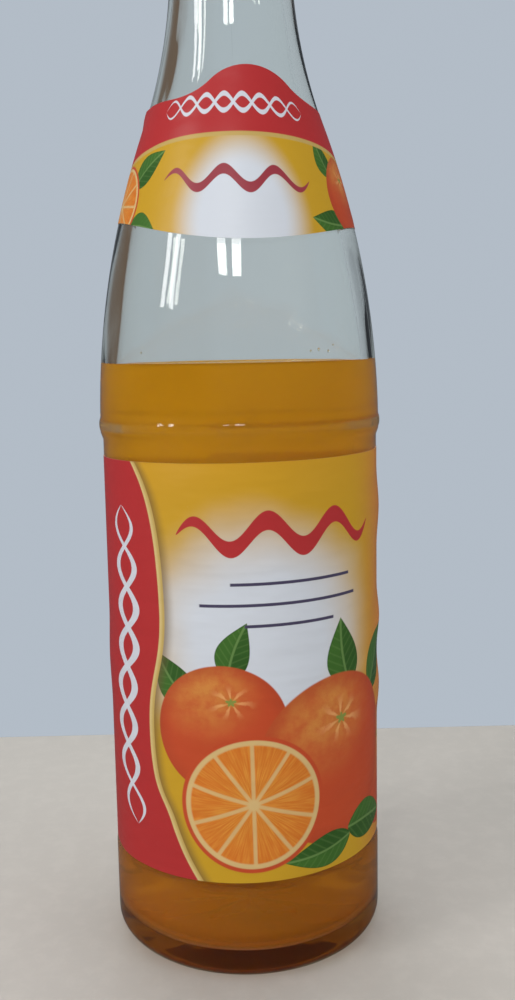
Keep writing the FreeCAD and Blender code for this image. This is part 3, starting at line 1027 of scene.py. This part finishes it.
class BOTTLE_OT_body_label(bpy.types.Operator):
    """Wrap the body label round the panel, with its lap at the back"""

    bl_idname = "bottle.body_label"
    bl_label = "Body Label"

    def execute(self, context):
        sizes = context.scene.bottle_sizes
        low, high = LABEL_LOW.z, LABEL_HIGH.z
        rows, steps, lap = 60, 250, 12
        inner = sizes.panel - 0.02 * MM
        section = Section("body_label_paper", inner, low)
        section.line_to(inner, high, cuts=rows)
        angle = math.tau * (1 + lap / (steps - lap))
        wind_paper(section, steps, angle, math.pi / 2 + math.radians(8))
        label = section.piece
        for vertex in label.data.vertices:  # slightly askew, the far end over the near one
            column = vertex.index // (rows + 1)
            arc = (column / steps - 0.5) * angle
            vertex.co.z -= arc * sizes.panel * ASKEW
            over = max(0.0, min(1.0, (column - (steps - lap) + 4) / 3))
            grow = 1 + over * (sizes.paper + 0.02 * MM) / inner
            vertex.co.x *= grow
            vertex.co.y *= grow
        lift_paper(
            label, sizes.panel,
            ((84, 107, 0.55, 10), (82, 79, 0.62, 8), (83, 62, 0.55, 8), (-82, 70, 0.3, 12),
             (68, 118.5, 0.25, 8), (-60, 26.5, 0.22, 9), (150, 95, 0.3, 14), (-140, 50, 0.3, 14)),
        )
        apply_modifier(label, "SOLIDIFY", thickness=sizes.paper, offset=1.0)
        smooth(label, 40)
        inks = context.scene.print_colours
        finish_piece(label, body_label_material(inks), "body_label")
        return {"FINISHED"}


class BOTTLE_OT_collar(bpy.types.Operator):
    """Lay the collar on the front of the shoulder and cut its wave edge"""

    bl_idname = "bottle.collar"
    bl_label = "Collar"

    def execute(self, context):
        sizes = context.scene.bottle_sizes
        sunk = 0.02 * MM
        foot, middle, head = shoulder_points(sizes, outside=True)
        low, high = COLLAR_LOW.z - 6 * MM, COLLAR_HIGH.z + 6 * MM
        lower = arc_centre(foot, middle, upright="start")
        upper = arc_centre(middle, head, upright="end")
        section = Section("collar_paper", on_circle(lower, foot, low) - sunk, low)
        section.arc_to(middle[0] - sunk, middle[1], centre=(lower[0] - sunk, lower[1]), steps=24)
        reach = math.hypot(head[0] - upper[0], head[1] - upper[1])
        top = upper[0] - math.sqrt(reach**2 - (high - upper[1]) ** 2)
        section.arc_to(top - sunk, high, centre=(upper[0] - sunk, upper[1]), steps=14)
        wind_paper(section, 150, math.radians(204), math.radians(12))
        collar = section.piece
        apply_modifier(collar, "SOLIDIFY", thickness=sizes.paper + sunk, offset=1.0)
        side, shoulder_up, crest = 38.0 * MM, 31.0 * MM, (2.3 * MM, 38.1 * MM)
        outline = Section("collar_outline", -side, shoulder_up)
        half, bend = 17.1 * MM, (shoulder_up + crest[1]) / 2
        outline.line_to(crest[0] - half, shoulder_up)
        for across, up, flat in (
            (-half / 2, bend, "start"), (0, crest[1], "end"), (half / 2, bend, "start"),
            (half, shoulder_up, "end"),
        ):
            outline.arc_to(crest[0] + across, up, level=flat, steps=14)
        outline.line_to(side, shoulder_up)
        sweep = 75.0 * MM
        rise = sweep - math.sqrt(sweep**2 - side**2)
        outline.line_to(side, rise)
        outline.arc_to(0, 0, level="end", steps=40)
        outline.arc_to(-side, rise, level="start", steps=40)
        outline.close_face()
        bpy.ops.mesh.extrude_region_move(TRANSFORM_OT_translate={"value": (0, 46 * MM, 0)})
        face_outward()
        tilt = Matrix.Rotation(math.radians(2.0), 4, "Y")
        lowest = Matrix.Translation((0, -44 * MM, 167.6 * MM))
        outline.piece.data.transform(lowest @ tilt)
        join_solid(collar, outline.piece, "INTERSECT")
        corners = ((-89, 199.0, 0.6, 5), (93, 173.0, 0.3, 5))
        lift_paper(collar, 21.5 * MM, corners)
        smooth(collar, 40)
        inks = context.scene.print_colours
        finish_piece(collar, collar_material(inks), "neck_label")
        return {"FINISHED"}


# -------------------- stage


def add_lamp(name, place_at, aim, size, power, colour):
    data = bpy.data.lights.new(name, "AREA")
    data.shape = "RECTANGLE"
    data.size, data.size_y = size
    data.energy, data.color = power, colour
    lamp = bpy.data.objects.new(name, data)
    bpy.context.collection.objects.link(lamp)
    lamp.location = place_at
    lamp.rotation_euler = (Vector(aim) - Vector(place_at)).to_track_quat("-Z", "Y").to_euler()
    return lamp


def light_path(tree):
    """Whether a ray comes from the eye, through glass or off a shine, and its glass faces."""
    path = tree.nodes.new("ShaderNodeLightPath")
    kinds = ("Is Camera Ray", "Is Transmission Ray", "Is Glossy Ray", "Transmission Depth")
    return tuple(Wire(tree, path.outputs[kind]) for kind in kinds)


def make_world(look):
    """Plain soft light all round, seen by the eye and through glass as the backdrop."""
    world = bpy.data.worlds.new("Studio")
    bpy.context.scene.world = world
    world.use_nodes = True
    tree = world.node_tree
    light = tree.nodes["Background"]
    wire_up(tree, light, Color=(0.93, 0.97, 1.0), Strength=0.42)
    shown = tree.nodes.new("ShaderNodeBackground")
    seen, passed, mirrored, faces = light_path(tree)
    course = tree.nodes.new("ShaderNodeTexCoord")
    apart = tree.nodes.new("ShaderNodeSeparateXYZ")
    tree.links.new(course.outputs["Generated"], apart.inputs[0])
    thick_edge = passed * faces.ramp(3.5, 2.5)  # glass that bends light without letting it inside
    aside = Wire(tree, apart.outputs["X"]).ramp(-0.25, -0.55) * thick_edge
    dim = mirrored * (-passed + 1.0) * -0.78 + 1.0  # for what a shine mirrors
    wire_up(tree, shown, Color=mix(aside, look.backdrop, look.dark_side), Strength=dim)
    seen = seen.math("MAXIMUM", passed).math("MAXIMUM", mirrored)
    blend = tree.nodes.new("ShaderNodeMixShader")
    feed(tree, blend.inputs[0], seen)
    tree.links.new(light.outputs[0], blend.inputs[1])
    tree.links.new(shown.outputs[0], blend.inputs[2])
    tree.links.new(blend.outputs[0], tree.nodes["World Output"].inputs["Surface"])


def floor_material(look):
    material, tree, shader, _ = new_material("Pale Table Top")
    here = tree.nodes.new("ShaderNodeTexCoord")
    spot = Wire(tree, here.outputs["Object"])
    fleck = noise(spot, Scale=160.0, Detail=5.0, Roughness=0.7)
    pale = tuple(min(1.0, c * 1.05) for c in look.floor)
    colour = mix(fleck.ramp(0.42, 0.66), look.floor, pale)
    _, passed, mirrored, _ = light_path(tree)
    # painted shade: what a shine mirrors of the floor is a quarter as bright
    dim = tuple(c * 0.25 for c in look.floor)
    colour = mix(mirrored * (-passed + 1.0), colour, dim)
    bump = relief(fleck, 0.1, 0.2 * MM)
    wire_up(tree, shader, Base_Color=colour, Roughness=fleck * 0.2 + 0.5, Normal=bump)
    return material


class BOTTLE_OT_stage(bpy.types.Operator):
    """Set up the table top, the lamps, the backdrop and the camera"""

    bl_idname = "bottle.stage"
    bl_label = "Stage"

    def execute(self, context):
        look = context.scene.stage_look
        deselect()
        bpy.ops.mesh.primitive_grid_add(x_subdivisions=24, y_subdivisions=24, size=1.0)
        floor = bpy.context.object
        floor.name = floor.data.name = "table_top"
        edit()
        depth, behind = 1.4, 0.131  # of the table top, and of its part behind the bottle
        bpy.ops.transform.resize(value=(2.4, depth, 1.0))
        bpy.ops.transform.translate(value=(0, behind - depth / 2, 0))
        leave_edit()
        apply_modifier(floor, "SOLIDIFY", thickness=0.024, offset=-1.0)
        apply_modifier(floor, "BEVEL", width=0.003, segments=4, limit_method="ANGLE")
        smooth(floor)
        floor.data.materials.append(floor_material(look))
        make_world(look)
        middle = (0, 0, 0.12)
        for name, spot, size, power in (
            ("window_left_a", (-0.76, -0.33, 0.60), (0.07, 0.46), 1.1),
            ("window_left_b", (-0.69, -0.45, 0.60), (0.07, 0.46), 1.1),
            ("window_front_a", (-0.18, -0.80, 0.66), (0.10, 0.26), 0.9),
            ("window_front_b", (0.00, -0.82, 0.66), (0.12, 0.26), 1.1),
        ):
            add_lamp(name, spot, middle, size, power, (1.0, 0.99, 0.97))
        for name, spot, size, power in (
            ("fill_left", (-0.70, -0.55, 0.40), (0.6, 0.6), 2.4),
            ("fill_right", (0.75, -0.40, 0.38), (0.5, 0.6), 2.0),
            ("top", (0.05, 0.25, 0.95), (0.7, 0.5), 2.8),
            ("fill_back", (-0.25, 0.85, 0.45), (0.7, 0.6), 2.2),
        ):
            lamp = add_lamp(name, spot, middle, size, power, (0.97, 0.99, 1.0))
            lamp.visible_glossy = lamp.visible_transmission = False
        eye = bpy.data.cameras.new("eye")
        camera = bpy.data.objects.new("eye", eye)
        context.collection.objects.link(camera)
        eye.lens, eye.sensor_width = 38.04, 36.0
        eye.clip_start, eye.clip_end = 0.01, 50.0
        down, roll, yaw = (math.radians(a) for a in (8.138, 1.022, 0.895))
        forward = Vector((math.sin(yaw), math.cos(yaw), 0))
        ahead = forward * math.cos(down) - Vector((0, 0, math.sin(down)))
        up = forward * math.sin(down) + Vector((0, 0, math.cos(down)))
        right = Vector((math.cos(yaw), -math.sin(yaw), 0))
        side = right * math.cos(roll) - up * math.sin(roll)
        over = right * math.sin(roll) + up * math.cos(roll)
        camera.matrix_world = Matrix.Translation((0, -0.25799, 0.14435)) @ Matrix(
            (side, over, -ahead)
        ).transposed().to_4x4()
        context.scene.camera = camera
        context.scene.view_settings.view_transform = "Standard"
        return {"FINISHED"}


class BOTTLE_PT_panel(bpy.types.Panel):
    """Buttons for the stage and for each piece of the bottle"""

    bl_idname = "BOTTLE_PT_panel"
    bl_label = "Orange Soda Bottle"
    bl_space_type = "VIEW_3D"
    bl_region_type = "UI"
    bl_category = "Bottle"

    def draw(self, context):
        for operator in OPERATORS:
            self.layout.operator(operator.bl_idname)


OPERATORS = (
    BOTTLE_OT_stage,
    BOTTLE_OT_glass,
    BOTTLE_OT_wear,
    BOTTLE_OT_drink,
    BOTTLE_OT_drops,
    BOTTLE_OT_body_label,
    BOTTLE_OT_collar,
)
GROUPS = {"bottle_sizes": BottleSizes, "print_colours": PrintColours, "stage_look": StageLook}
EFFECTS = (
    make_unroll,
    make_leaf,
    make_whole_orange,
    make_cut_orange,
    make_wave,
    make_paper,
    make_handling,
)


def register():
    for kind in (*GROUPS.values(), *OPERATORS, BOTTLE_PT_panel):
        bpy.utils.register_class(kind)
    for name, kind in GROUPS.items():
        setattr(bpy.types.Scene, name, bpy.props.PointerProperty(type=kind))


def unregister():
    for name in GROUPS:
        delattr(bpy.types.Scene, name)
    for kind in reversed((*GROUPS.values(), *OPERATORS, BOTTLE_PT_panel)):
        bpy.utils.unregister_class(kind)


def main():
    register()
    for make in EFFECTS:
        make()
    for operator in OPERATORS:
        getattr(bpy.ops.bottle, operator.bl_idname.split(".")[1])()


if __name__ == "__main__":
    main()
